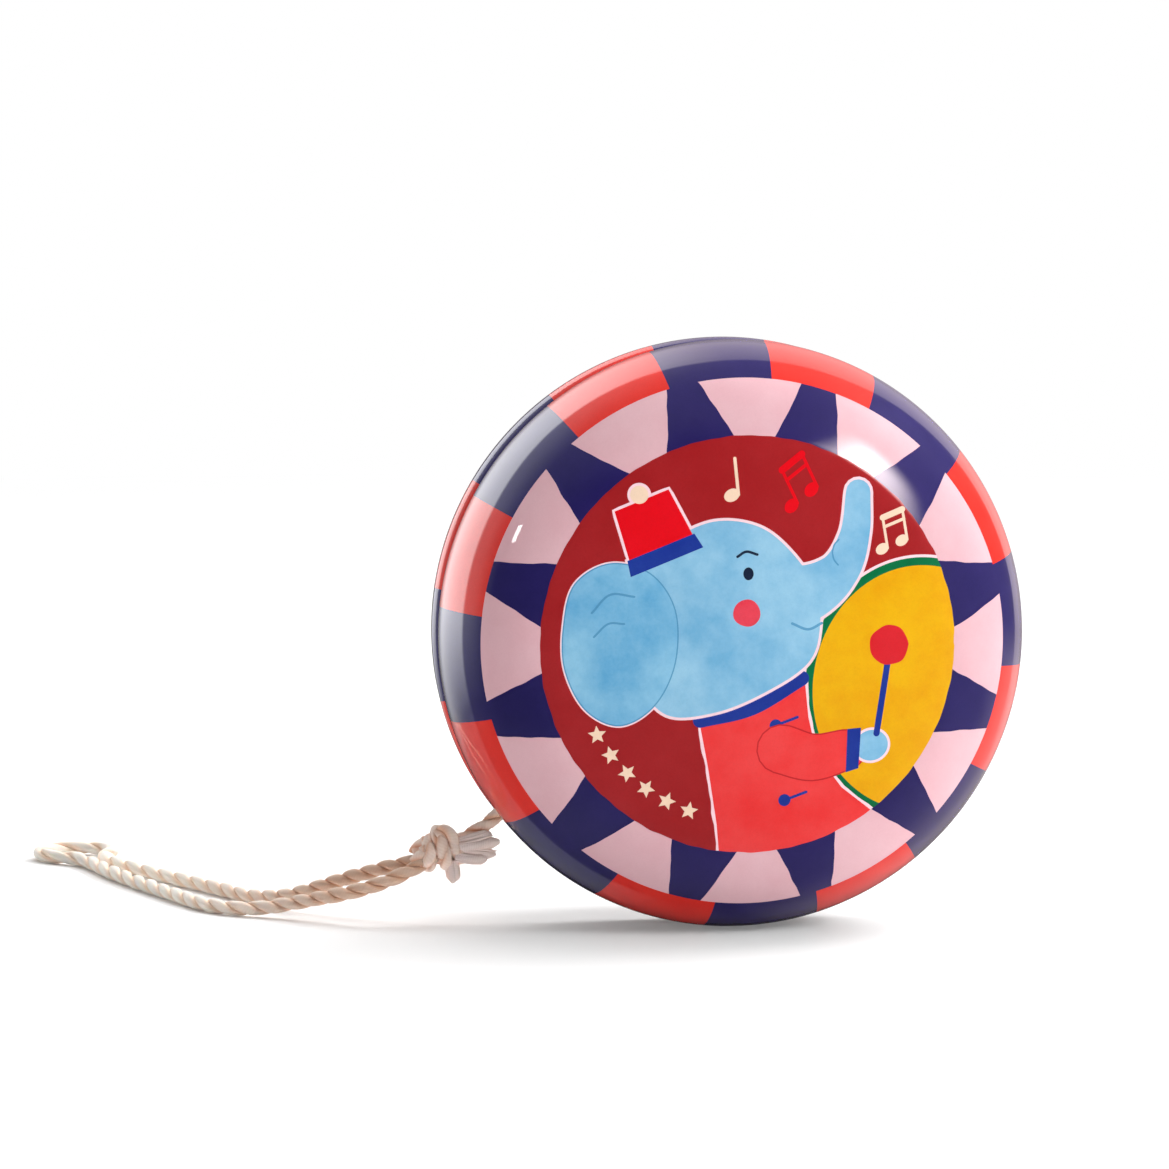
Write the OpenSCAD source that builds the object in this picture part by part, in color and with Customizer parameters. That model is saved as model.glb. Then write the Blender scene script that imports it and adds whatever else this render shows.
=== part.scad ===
// Tin yo-yo with its cotton string: two hollow pressed shells, each closed by an inner
// plate held in the rolled hem, riveted back to back on a sleeve that the string loops round.
// Frame: the origin is the middle of the axle, the axle lies along Y, the pictured front
// face looks along -Y, and Z points up. The surface it stands on is one radius below.

/* [Shells] */
// Largest diameter of the two halves
outer_diameter = 60; // [56:1:64]
// Width over the two domes, along the axle
overall_width = 33; // [31:1:36]
// Radius of the nearly flat crown of each dome
crown_radius = 150; // [120:10:220]
// Clear gap between the two hems, where the string runs
string_gap = 3; // [2.6:0.1:3.4]
// Radius of the rolled edge beside the gap
curl_radius = 1.9; // [1.7:0.1:2.1]
// Flat lip of the hem, over the edge of the inner plate
hem_lip = 1.3; // [1:0.1:1.8]
// Thickness of the tinplate
sheet = 0.35; // [0.25:0.05:0.4]

/* [Axle] */
// Radius of the solid rivet
rivet_radius = 1.5; // [1.2:0.1:1.8]
// Outer radius of the sleeve that the string loops round
sleeve_radius = 2.6; // [2.4:0.1:3]
// Outer radius of the washers under the rivet's heads
washer_radius = 4.5; // [4:0.1:6]
// Thickness of a washer
washer_thickness = 0.5; // [0.4:0.1:0.8]
// Radius of the rivet's heads
head_radius = 2.9; // [2.6:0.1:3.4]
// Height of the rivet's heads
head_height = 1.3; // [1:0.1:1.8]

/* [String] */
// Diameter of the twisted cotton string
string_diameter = 1.6; // [1.4:0.1:1.8]
// Outer radius of the string wound on the axle
winding_radius = 22; // [21:0.5:22]
// Play between the sleeve and the string's loop
loop_play = 0.05; // [0.02:0.01:0.1]
// Half length of the knot
knot_half_length = 3.4; // [3:0.1:3.8]
// Half thickness of the knot
knot_half_width = 2.4; // [2:0.1:2.8]

/* [Hidden] */

$fn = 144;
outer_radius = outer_diameter / 2;
half_width = overall_width / 2;
hem_face = string_gap / 2;
rim_height = hem_face + curl_radius;
curl_centre = outer_radius - curl_radius;
plate_face = hem_face + sheet;
string_radius = string_diameter / 2;
loop_radius = sleeve_radius + loop_play + string_radius;
floor_z = -outer_radius;

// The shoulder is the arc that meets both the rim and the crown without a corner.
crown_drop = crown_radius + rim_height - half_width;
shoulder_radius = (crown_radius ^ 2 - outer_radius ^ 2 - crown_drop ^ 2)
    / (2 * (crown_radius - outer_radius));
shoulder_centre = outer_radius - shoulder_radius;
crown_angle = asin(shoulder_centre / (crown_radius - shoulder_radius));

// Number of straight facets along each arc of the profile
crown_steps = 8;
shoulder_steps = 18;
curl_steps = 6;

// Rows of the string's tube, and its sides
tube_sides = 8;
steps_per_span = 2;

// Routes are in millimetres for a 60 mm toy, and grow with its diameter.
route_scale = outer_diameter / 60;

// From the outermost turn, down the gap and out to the knot: [x, y, z] from the axle
LEAD_ROUTE = [[-20.7, 0, -3.7], [-20.7, 0, -7.5], [-20.8, 0, -11.5], [-21.4, 0, -15],
    [-22.7, 0, -17.7], [-24.6, 0, -19.6], [-26.4, 0, -20.7], [-28.2, 0, -21.6]];

// Round the finger loop, from the knot and back to it: [x, y, height of the string's
// underside over the surface that the toy stands on]
LOOP_ROUTE = [[-30.2, -1, 6.6], [-32.4, -1.1, 5.2], [-35.2, -0.9, 3.9], [-38.4, 0.2, 2.8],
    [-41.6, 2.7, 1.8], [-44.6, 5.4, 0.9], [-47.4, 7.4, 0.2], [-50.1, 8.8, 0], [-52.9, 12, 0],
    [-55.6, 18.4, 0], [-58, 24.8, 0], [-60.3, 31.2, 0], [-62.3, 37.4, 0], [-63.4, 41.8, 0],
    [-64.4, 45.2, 0], [-65.9, 47.8, 0], [-68.1, 49.4, 0], [-69.4, 51.8, 0], [-68.8, 54.5, 0],
    [-66.6, 56.1, 0], [-63.9, 56, 0], [-61.9, 54.2, 0], [-61.5, 51.5, 0], [-62.4, 48.9, 0],
    [-62.3, 46.1, 0], [-61.1, 42.6, 0], [-59, 38.2, 0], [-56.4, 33.2, 0], [-53.6, 28, 0],
    [-50.9, 22.8, 0], [-48, 17.2, 0], [-44.7, 12, 0.7], [-41.3, 8.2, 2.2], [-37.9, 5, 3.7],
    [-34.8, 2.5, 4.9], [-32.3, 1.2, 5.6], [-30.2, 1, 6.4]];

// The cut end that is frayed into a brush, and the short cut end below the knot
FRAYED_ROUTE = [[-27, -1.3, 6.2], [-25.2, -1.3, 6.1], [-23.4, -1.3, 6]];
SHORT_ROUTE = [[-28.4, -0.7, 5.6], [-28.2, -0.9, 4.6], [-28, -1, 3.6]];
frayed_radius = 1.5 * string_radius;

KNOT_PLACE = [-29, 0, -22.1];
// Turn of the knot's long axis about Y, from upright
knot_turn = -104;
knot_steps = 18;

// Points of an arc: a is measured from the profile's Y axis towards its X axis.
function arc(centre, radius, from, to, steps) =
    [for (i = [0:steps]) let (a = from + (to - from) * i / steps)
        [centre[0] + radius * sin(a), centre[1] + radius * cos(a)]];

// One face of the sheet, from the pole of the dome to the end of the hem's lip. inset is 0
// for the outside and the sheet's thickness for the inside.
function shell_line(inset) = concat(
    arc([0, half_width - crown_radius], crown_radius - inset, 0, crown_angle, crown_steps),
    [for (i = [1:shoulder_steps])
        arc([shoulder_centre, rim_height], shoulder_radius - inset,
            crown_angle, 90, shoulder_steps)[i]],
    [for (i = [1:curl_steps])
        arc([curl_centre, rim_height], curl_radius - inset, 90, 180, curl_steps)[i]],
    [[curl_centre - hem_lip, hem_face + inset]]);

function reversed(list) = [for (i = [len(list) - 1:-1:0]) list[i]];

// A smooth line through the route's points (Catmull-Rom)
function blend(a, b, c, d, t) =
    0.5 * (2 * b + (c - a) * t + (2 * a - 5 * b + 4 * c - d) * t ^ 2
        + (3 * b - a - 3 * c + d) * t ^ 3);
function smooth(p) = let (n = len(p)) concat(
    [for (i = [0:n - 2], k = [0:steps_per_span - 1])
        blend(i == 0 ? 2 * p[0] - p[1] : p[i - 1], p[i], p[i + 1],
            i == n - 2 ? 2 * p[n - 1] - p[n - 2] : p[i + 2], k / steps_per_span)],
    [p[n - 1]]);

function unit(v) = v / norm(v);
function tangent(p, i) = unit(p[min(i + 1, len(p) - 1)] - p[max(i - 1, 0)]);
function from_axle(route) = [for (p = route) p * route_scale];
function from_floor(route, radius) =
    [for (p = route) [p[0], p[1], 0] * route_scale
        + [0, 0, floor_z + radius + p[2] * route_scale]];

// A round tube along a line of points; reference is a direction that the line never follows.
module tube(line, radius, reference) {
    rows = len(line);
    points = [for (i = [0:rows - 1])
        let (along = tangent(line, i), side = unit(cross(along, reference)),
            up = cross(side, along))
        for (k = [0:tube_sides - 1]) let (a = 360 * (k + 0.5) / tube_sides)
            line[i] + radius * (cos(a) * side + sin(a) * up)];
    walls = [for (i = [0:rows - 2], k = [0:tube_sides - 1])
        let (next = (k + 1) % tube_sides, low = i * tube_sides, high = low + tube_sides)
        [low + k, low + next, high + next, high + k]];
    first_end = [[for (k = [tube_sides - 1:-1:0]) k]];
    last_end = [[for (k = [0:tube_sides - 1]) (rows - 1) * tube_sides + k]];
    polyhedron(points, concat(walls, first_end, last_end), convexity = 8);
}

// Half of the toy is drawn with its dome up, and these turn it to the front or to the rear.
module to_front() { rotate([90, 0, 0]) children(); }
module to_rear() { rotate([-90, 0, 0]) children(); }

module face_shell() {
    color([0.86, 0.2, 0.19])
        rotate_extrude() polygon(concat(shell_line(0), reversed(shell_line(sheet))));
}

module inner_plate() {
    color([0.62, 0.62, 0.64]) translate([0, 0, plate_face]) difference() {
        cylinder(r = curl_centre, h = sheet);
        translate([0, 0, -sheet]) cylinder(r = rivet_radius, h = 3 * sheet);
    }
}

module axle_washer() {
    color([0.75, 0.75, 0.72]) translate([0, 0, plate_face + sheet]) difference() {
        cylinder(r = washer_radius, h = washer_thickness);
        translate([0, 0, -washer_thickness]) cylinder(r = rivet_radius, h = 3 * washer_thickness);
    }
}

module front_face_shell() { to_front() face_shell(); }
module rear_face_shell() { to_rear() face_shell(); }
module front_inner_plate() { to_front() inner_plate(); }
module rear_inner_plate() { to_rear() inner_plate(); }
module front_axle_washer() { to_front() axle_washer(); }
module rear_axle_washer() { to_rear() axle_washer(); }

module axle_sleeve() {
    color([0.72, 0.6, 0.34]) to_front() difference() {
        cylinder(r = sleeve_radius, h = 2 * plate_face, center = true);
        cylinder(r = rivet_radius, h = 3 * plate_face, center = true);
    }
}

// The shank fills the sleeve, plates and washers; the front head is domed and the rear
// head is the flatter, closed one.
module axle_rivet() {
    grip = plate_face + sheet + washer_thickness;
    rear_head_height = 0.7 * head_height;
    dome_radius = (head_radius ^ 2 + head_height ^ 2) / (2 * head_height);
    dome_angle = asin(head_radius / dome_radius);
    color([0.7, 0.7, 0.72]) to_front() rotate_extrude() polygon(concat(
        arc([0, grip + head_height - dome_radius], dome_radius, 0, dome_angle, 8),
        [[rivet_radius, grip], [rivet_radius, -grip], [head_radius, -grip],
            [0.8 * head_radius, -grip - rear_head_height], [0, -grip - rear_head_height]]));
}

module string_axle_loop() {
    color([0.9, 0.8, 0.68]) to_front() rotate_extrude()
        translate([loop_radius, 0]) circle(r = string_radius, $fn = 32);
}

// The turns wound on the axle, as one solid of their outer shape
module string_winding() {
    inner_radius = loop_radius + string_radius;
    color([0.88, 0.77, 0.64]) to_front() difference() {
        cylinder(r = winding_radius, h = string_diameter, center = true);
        cylinder(r = inner_radius, h = 2 * string_diameter, center = true);
    }
}

module string_lead() {
    color([0.9, 0.8, 0.68]) tube(smooth(from_axle(LEAD_ROUTE)), string_radius, [0, 1, 0]);
}

module string_knot() {
    color([0.88, 0.78, 0.66])
        translate(KNOT_PLACE * route_scale) rotate([0, knot_turn, 0]) rotate_extrude()
            polygon([for (i = [0:knot_steps]) let (a = 180 * i / knot_steps)
                [knot_half_width * sin(a), knot_half_length * cos(a)]]);
}

module string_frayed_end() {
    color([0.92, 0.84, 0.76])
        tube(from_floor(FRAYED_ROUTE, string_radius), frayed_radius, [0, 0, 1]);
}

module string_short_end() {
    color([0.92, 0.84, 0.76])
        tube(from_floor(SHORT_ROUTE, string_radius), string_radius, [0, 1, 0]);
}

module finger_loop() {
    color([0.93, 0.84, 0.72])
        tube(smooth(from_floor(LOOP_ROUTE, string_radius)), string_radius, [0, 0, 1]);
}

front_face_shell();
rear_face_shell();
front_inner_plate();
rear_inner_plate();
axle_sleeve();
axle_rivet();
front_axle_washer();
rear_axle_washer();
string_axle_loop();
string_winding();
string_lead();
string_knot();
string_frayed_end();
string_short_end();
finger_loop();
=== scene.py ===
"""A printed tin yo-yo standing on its rim on a pale floor, its cotton string laid out beside it."""
import functools
import math
import random

import bpy
import numpy as np
from mathutils import Matrix, Vector
from mathutils.geometry import delaunay_2d_cdt


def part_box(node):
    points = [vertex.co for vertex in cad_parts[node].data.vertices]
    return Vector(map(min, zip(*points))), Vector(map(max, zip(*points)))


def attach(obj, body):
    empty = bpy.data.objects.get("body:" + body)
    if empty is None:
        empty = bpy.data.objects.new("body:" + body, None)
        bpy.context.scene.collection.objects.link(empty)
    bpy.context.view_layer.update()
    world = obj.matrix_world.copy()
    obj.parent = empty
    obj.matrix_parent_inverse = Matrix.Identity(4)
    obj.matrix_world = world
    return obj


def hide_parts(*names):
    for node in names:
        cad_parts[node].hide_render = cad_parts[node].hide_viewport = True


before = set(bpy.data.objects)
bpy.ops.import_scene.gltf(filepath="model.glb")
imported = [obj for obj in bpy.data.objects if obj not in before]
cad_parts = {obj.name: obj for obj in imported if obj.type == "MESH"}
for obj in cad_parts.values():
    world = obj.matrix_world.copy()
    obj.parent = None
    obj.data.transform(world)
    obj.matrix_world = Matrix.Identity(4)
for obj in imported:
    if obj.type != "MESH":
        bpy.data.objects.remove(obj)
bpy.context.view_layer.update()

MM = 0.001
TAU = 2 * math.pi
scene = bpy.context.scene

# -------------------------------- sizes, from the frame
shell_low, shell_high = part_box("front_face_shell")
OUTER_RADIUS = shell_high.x
HALF_WIDTH = -shell_low.y
HEM_FACE = -shell_high.y
FLOOR_Z = -OUTER_RADIUS
CROWN_RADIUS = 150 * MM
CURL_RADIUS = 1.9 * MM
HEM_LIP = 1.3 * MM
SHEET = 0.35 * MM

STRING_DIAMETER = 1.6 * MM
STRING_RADIUS = STRING_DIAMETER / 2
WINDING_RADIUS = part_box("string_winding")[1].x
AXLE_LOOP_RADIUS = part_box("string_axle_loop")[1].x - STRING_RADIUS


def added(name, data):
    """A new object in the scene that holds this mesh, light or camera."""
    made = bpy.data.objects.new(name, data)
    scene.collection.objects.link(made)
    return made


# -------------------------------- camera
CAMERA_AZIMUTH = math.radians(-7)
CAMERA_ELEVATION = math.radians(5)
CAMERA_DISTANCE = 0.52
CAMERA_LENS = 156
CAMERA_SENSOR = 36
# How far right of and below the picture's middle the toy's own centre stands, at its depth
PICTURE_RIGHT = 14.5 * MM
PICTURE_DOWN = 4.7 * MM


def direction(azimuth, elevation):
    """Unit vector from the toy, with azimuth 0 in front of it and + to the right, in radians."""
    return Vector((math.sin(azimuth) * math.cos(elevation),
                   -math.cos(azimuth) * math.cos(elevation), math.sin(elevation)))


def camera_axes():
    """The camera's right, up and back."""
    back = direction(CAMERA_AZIMUTH, CAMERA_ELEVATION)
    right = Vector((math.cos(CAMERA_AZIMUTH), math.sin(CAMERA_AZIMUTH), 0))
    return right, back.cross(right), back


def make_camera():
    """The camera looks level-headed at the front face, from a little to the left and above."""
    data = bpy.data.cameras.new("camera")
    data.lens = CAMERA_LENS
    data.sensor_width = CAMERA_SENSOR
    data.clip_start = 0.01
    camera = added("camera", data)
    right, up, back = camera_axes()
    turn = Matrix((right, up, back)).transposed().to_4x4()
    place = back * CAMERA_DISTANCE - right * PICTURE_RIGHT + up * PICTURE_DOWN
    camera.matrix_world = Matrix.Translation(place) @ turn
    scene.camera = camera


make_camera()


# -------------------------------- materials
def linear(srgb):
    """An 0 to 255 screen colour as the linear colour that shaders use."""
    parts = [c / 255 for c in srgb]
    return tuple(c / 12.92 if c <= 0.04045 else ((c + 0.055) / 1.055) ** 2.4 for c in parts) + (1,)


def shaded(colour, factor):
    """The linear colour made darker."""
    return tuple(min(1, c * factor) for c in colour[:3]) + (1,)


class Nodes:
    """A node tree, with helpers for wiring nodes into it."""

    def __init__(self, tree, coordinates):
        self.tree = tree
        self.where = self.node("ShaderNodeTexCoord").outputs[coordinates]

    def set(self, socket, value):
        """Gives a socket its value, or links it to the socket that the value comes from."""
        if isinstance(value, bpy.types.NodeSocket):
            self.tree.links.new(value, socket)
        else:
            socket.default_value = value

    def node(self, kind, **inputs):
        made = self.tree.nodes.new(kind)
        for name, value in inputs.items():
            self.set(made.inputs[name.replace("_", " ")], value)
        return made

    def maths(self, operation, *values):
        made = self.node("ShaderNodeMath")
        made.operation = operation
        for socket, value in zip(made.inputs, values):
            self.set(socket, value)
        return made.outputs[0]

    def stretch(self, source, low, high, to_low=0.0, to_high=1.0, soft=False):
        """Turns low to high into to_low to to_high, and stays level beyond them."""
        made = self.node("ShaderNodeMapRange", Value=source, From_Min=low, From_Max=high,
                         To_Min=to_low, To_Max=to_high)
        made.interpolation_type = "SMOOTHSTEP" if soft else "LINEAR"
        return made.outputs["Result"]

    def mix(self, factor, first, second, blend="MIX", kind="RGBA"):
        """The first colour, or number, at a factor of 0 and the second one at 1."""
        made = self.node("ShaderNodeMix")
        made.data_type, made.blend_type = kind, blend
        *places, result = (0, 6, 7, 2) if kind == "RGBA" else (0, 2, 3, 0)
        for place, value in zip(places, (factor, first, second)):
            self.set(made.inputs[place], value)
        return made.outputs[result]


class Material(Nodes):
    """A Principled material."""

    def __init__(self, name, roughness=0.5, metallic=0.0):
        self.material = bpy.data.materials.new(name)
        self.material.use_nodes = True
        super().__init__(self.material.node_tree, "Object")
        self.shader = self.tree.nodes["Principled BSDF"]
        self.put(Roughness=roughness, Metallic=metallic)

    def put(self, **values):
        for name, value in values.items():
            self.set(self.shader.inputs[name.replace("_", " ")], value)

    def noise(self, scale, detail=3.0, roughness=0.5):
        return self.node("ShaderNodeTexNoise", Scale=scale, Detail=detail, Roughness=roughness,
                         Vector=self.where).outputs["Fac"]

    def first_part(self, vector):
        """The X of a vector."""
        return self.node("ShaderNodeSeparateXYZ", Vector=vector).outputs["X"]

    def bump(self, height, strength, distance, target="Normal", below=None):
        made = self.node("ShaderNodeBump", Strength=strength, Distance=distance, Height=height)
        if below is not None:
            self.set(made.inputs["Normal"], below)
        self.set(self.shader.inputs[target], made.outputs["Normal"])
        return made.outputs["Normal"]


# Printed inks: colour, how strongly fine grain darkens it, and how unevenly thick the ink lies
INKS = {
    "navy": ((38, 31, 94), 0.14, 0.05),
    "red": ((226, 42, 31), 0.10, 0.08),
    "pink": ((228, 182, 190), 0.05, 0.10),
    "maroon": ((164, 32, 36), 0.14, 0.06),
    "blue": ((138, 192, 223), 0.07, 0.34),
    "ear_blue": ((124, 186, 221), 0.07, 0.38),
    "blue_line": ((88, 152, 194), 0.10, 0.10),
    "yellow": ((233, 172, 4), 0.08, 0.20),
    "green": ((0, 112, 66), 0.12, 0.08),
    "hat_red": ((230, 8, 26), 0.10, 0.08),
    "coat_red": ((236, 62, 62), 0.08, 0.14),
    "fold_red": ((196, 36, 42), 0.10, 0.05),
    "trim": ((30, 56, 150), 0.12, 0.08),
    "cream": ((246, 216, 190), 0.06, 0.05),
    "cheek": ((230, 66, 84), 0.10, 0.16),
    "baton": ((214, 32, 42), 0.10, 0.12),
    "outline": ((250, 214, 222), 0.05, 0.04),
    "dark": ((24, 34, 58), 0.05, 0.02),
}


def thicker(colour, by):
    """The same ink laid thicker or, with a negative amount, thinner over the white coat."""
    return tuple(c ** (1 + by) for c in colour[:3]) + (1,)


def ink(name, srgb, grain, uneven):
    """Printing ink on white-coated tinplate, under a clear gloss lacquer."""
    m = Material("ink_" + name, roughness=0.4)
    colour = linear(srgb)
    patches = m.stretch(m.noise(150, 5, 0.66), 0.34, 0.66)
    washed = m.mix(patches, thicker(colour, uneven), thicker(colour, -0.45 * uneven))
    specks = m.stretch(m.noise(5200, 2, 0.7), 0.42, 0.72, 0, grain)
    m.put(Base_Color=m.mix(specks, washed, shaded(colour, 0.35)))
    m.bump(m.noise(2600, 2), 0.05, 0.02 * MM)
    m.bump(m.noise(230, 2), 0.035, 0.12 * MM, "Coat Normal")
    m.put(Specular_IOR_Level=0.12, Coat_Weight=1.0, Coat_Roughness=0.03, Coat_IOR=1.5)
    return m.material


INK_MATERIALS = {name: ink(name, *facts) for name, facts in INKS.items()}


def bare_metal(name, srgb, roughness, streaks, tarnish):
    """Bare sheet or turned metal: fine streaks round the axle and a soft uneven tarnish."""
    m = Material(name, roughness=roughness, metallic=1.0)
    colour = linear(srgb)
    dull = m.stretch(m.noise(320, 4, 0.6), 0.4, 0.7, 0, tarnish)
    m.put(Base_Color=m.mix(dull, colour, shaded(colour, 0.45)))
    m.put(Roughness=m.stretch(m.noise(900, 3), 0.3, 0.7, roughness - 0.08, roughness + 0.12))
    wave = m.node("ShaderNodeTexWave", Scale=streaks, Distortion=3.0, Detail=2.0, Vector=m.where)
    wave.wave_type = "RINGS"
    wave.rings_direction = "Y"
    m.bump(wave.outputs["Fac"], 0.12, 0.02 * MM)
    return m.material


TIN = bare_metal("bare_tin", (190, 190, 192), 0.3, 1500, 0.5)
STEEL = bare_metal("zinc_steel", (176, 178, 180), 0.32, 2200, 0.4)
BRASS = bare_metal("turned_brass", (206, 164, 88), 0.28, 2600, 0.5)


# Where along X the cotton has no painted shade, and where its painted shade near the toy is full
NO_SHADE_X, FULL_SHADE_X = -56 * MM, -40 * MM


def cotton(name, crest, groove_shade, shade_near_toy=(255, 255, 255)):
    """Soft cotton yarn, pale on the crests of its plies, with painted shade where the plies meet.
    Near the toy it has painted shade, darker towards the toy.
    """
    m = Material(name, roughness=0.85)
    # Painted shade: the colour darkens towards the toy
    near_toy = m.stretch(m.first_part(m.where), NO_SHADE_X, FULL_SHADE_X)
    tint = m.mix(near_toy, (1, 1, 1, 1), linear(shade_near_toy))
    uv = m.node("ShaderNodeUVMap").outputs["UV"]
    # Painted shade between the plies: the side of each ply that faces the other gets the darker
    # groove colour, its crest the pale one
    outward = m.maths("COSINE", m.maths("MULTIPLY", m.first_part(uv), TAU))
    soft = m.stretch(m.noise(420, 4, 0.6), 0.3, 0.7, -0.22, 0.22)
    height = m.maths("ADD", outward, soft)
    painted_ply_shade = m.mix(m.stretch(height, -0.1, 0.95), linear(groove_shade), linear(crest))
    fibres = m.node("ShaderNodeTexWave", Scale=2.6, Distortion=1.6, Detail=3.0, Detail_Scale=2.4,
                    Vector=uv)
    fibres.bands_direction = "DIAGONAL"
    faint = m.stretch(fibres.outputs["Fac"], 0, 1, 0.0, 0.14)
    streaked = m.mix(faint, painted_ply_shade, shaded(linear(groove_shade), 0.8))
    m.put(Base_Color=m.mix(1.0, streaked, tint, "MULTIPLY"))
    rough = m.bump(fibres.outputs["Fac"], 0.25, 0.05 * MM)
    m.bump(m.noise(7000, 3, 0.7), 0.35, 0.05 * MM, below=rough)
    m.put(Sheen_Weight=0.4, Sheen_Roughness=0.5, Specular_IOR_Level=0.15)
    m.put(Subsurface_Weight=0.2, Subsurface_Scale=0.5 * MM, Subsurface_Radius=(1.0, 0.66, 0.45))
    return m.material


COTTON = cotton("twisted_cotton", (255, 228, 214), (240, 186, 156))
# The loop's last colour is the painted shade it gets near the toy
LOOP_COTTON = cotton("loop_cotton", (255, 248, 238), (255, 230, 208), (220, 194, 180))
FRAYED_COTTON = cotton("frayed_cotton", (255, 230, 222), (246, 210, 196))


# -------------------------------- lines and tubes
def smooth(points, steps, closed=False):
    """A Catmull-Rom line through the points, with this many steps between each two."""
    p = np.array(points, float)
    if closed:
        p = np.vstack([p[-1], p, p[:2]])
    else:
        p = np.vstack([2 * p[0] - p[1], p, 2 * p[-1] - p[-2]])
    made = []
    for a, b, c, d in zip(p[:-3], p[1:-2], p[2:-1], p[3:]):
        for t in np.arange(steps) / steps:
            made.append(0.5 * (2 * b + (c - a) * t + (2 * a - 5 * b + 4 * c - d) * t ** 2
                               + (3 * b - a - 3 * c + d) * t ** 3))
    if not closed:
        made.append(p[-2])
    return np.array(made)


def distances(points):
    """How far along the line each point lies."""
    return np.concatenate([[0], np.cumsum(np.linalg.norm(np.diff(points, axis=0), axis=1))])


def even(points, spacing):
    """The same line with points at an even spacing, and how far along it each one lies."""
    run = distances(points)
    count = max(2, int(round(run[-1] / spacing)) + 1)
    at = np.linspace(0, run[-1], count)
    return np.stack([np.interp(at, run, points[:, i]) for i in range(3)], 1), at


def unit(v):
    return v / np.maximum(np.linalg.norm(v, axis=-1, keepdims=True), 1e-12)


def tangents(points):
    return unit(np.gradient(points, axis=0))


def carried_sides(points, first):
    """Directions square to the line, carried along it without twisting, and the line's own."""
    along = tangents(points)
    side = unit(np.array(first) - along[0] * np.dot(first, along[0]))
    made = [side]
    for t in along[1:]:
        side = unit(side - t * np.dot(side, t))
        made.append(side)
    return np.array(made), along


def tube_parts(points, outward, radii, sides, squash=1.0):
    """Vertices, faces and UVs of a round tube. outward is each ring's first direction."""
    along = tangents(points)
    across = unit(np.cross(along, outward))
    outward = np.cross(across, along)
    angles = np.arange(sides) * TAU / sides
    radii = np.broadcast_to(radii, (len(points),))[:, None, None]
    rings = (points[:, None] + radii * (np.cos(angles)[None, :, None] * outward[:, None]
             + squash * np.sin(angles)[None, :, None] * across[:, None]))
    vertices = rings.reshape(-1, 3)
    faces, uvs = [], []
    run = distances(points)
    for i in range(len(points) - 1):
        for k in range(sides):
            n = (k + 1) % sides
            faces.append((i * sides + k, i * sides + n, (i + 1) * sides + n, (i + 1) * sides + k))
            low, high = run[i] / MM, run[i + 1] / MM
            uvs.append(((k / sides, low), ((k + 1) / sides, low),
                        ((k + 1) / sides, high), (k / sides, high)))
    last = (len(points) - 1) * sides
    faces.append(tuple(range(sides - 1, -1, -1)))
    faces.append(tuple(range(last, last + sides)))
    for _ in range(2):
        uvs.append(tuple((k / sides, 0) for k in range(sides)))
    return vertices, faces, uvs


def mesh_object(name, parts, material):
    """One smooth object from several (vertices, faces, uvs) groups."""
    vertices, faces, uvs = [], [], []
    for v, f, u in parts:
        start = len(vertices)
        vertices.extend(map(tuple, v))
        faces.extend(tuple(i + start for i in face) for face in f)
        uvs.extend(u)
    mesh = bpy.data.meshes.new(name)
    mesh.from_pydata(vertices, [], faces)
    layer = mesh.uv_layers.new(name="UVMap")
    layer.data.foreach_set("uv", [c for face in uvs for corner in face for c in corner])
    mesh.polygons.foreach_set("use_smooth", [True] * len(mesh.polygons))
    mesh.materials.append(material)
    mesh.update()
    return added(name, mesh)


PLIES = 2
PLY_RADIUS = 0.45 * MM
PLY_OFFSET = 0.35 * MM
PLY_FLATNESS = 1.3
TWIST_PITCH = 4.5 * MM
PLY_SIDES = 14


def twisted(points, spacing, twist_from=0.0, first=(0, 1, 0), slack=0.0):
    """A twisted string's plies as tube parts, and its line. Slack untwists its middle."""
    line, run = even(points, spacing)
    side, along = carried_sides(line, first)
    across = np.cross(along, side)
    pitch = TWIST_PITCH * (1 + slack * np.sin(math.pi * run / run[-1]) ** 2)
    turns = twist_from / TWIST_PITCH + np.cumsum(np.gradient(run) / pitch)
    parts = []
    for k in range(PLIES):
        turn = TAU * (k / PLIES + turns)
        out = np.cos(turn)[:, None] * side + np.sin(turn)[:, None] * across
        slow, quick = np.sin(run / (1.7 * MM) + 2.1 * k), np.sin(run / (0.6 * MM) + k)
        radii = PLY_RADIUS * (0.95 + 0.04 * slow + 0.03 * quick)
        parts.append(tube_parts(line + PLY_OFFSET * out, out, radii, PLY_SIDES, PLY_FLATNESS))
    return parts, line


# -------------------------------- string
# From the outermost turn, down the gap and out to the knot: x, y and z from the axle, in mm
LEAD_ROUTE = [(-20.7, 0, -3.7), (-20.7, 0, -7.5), (-20.8, 0, -11.5), (-21.4, 0, -15),
              (-22.7, 0, -17.7), (-24.6, 0, -19.6), (-26.4, 0, -20.7), (-28.2, 0, -21.6)]
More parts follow.
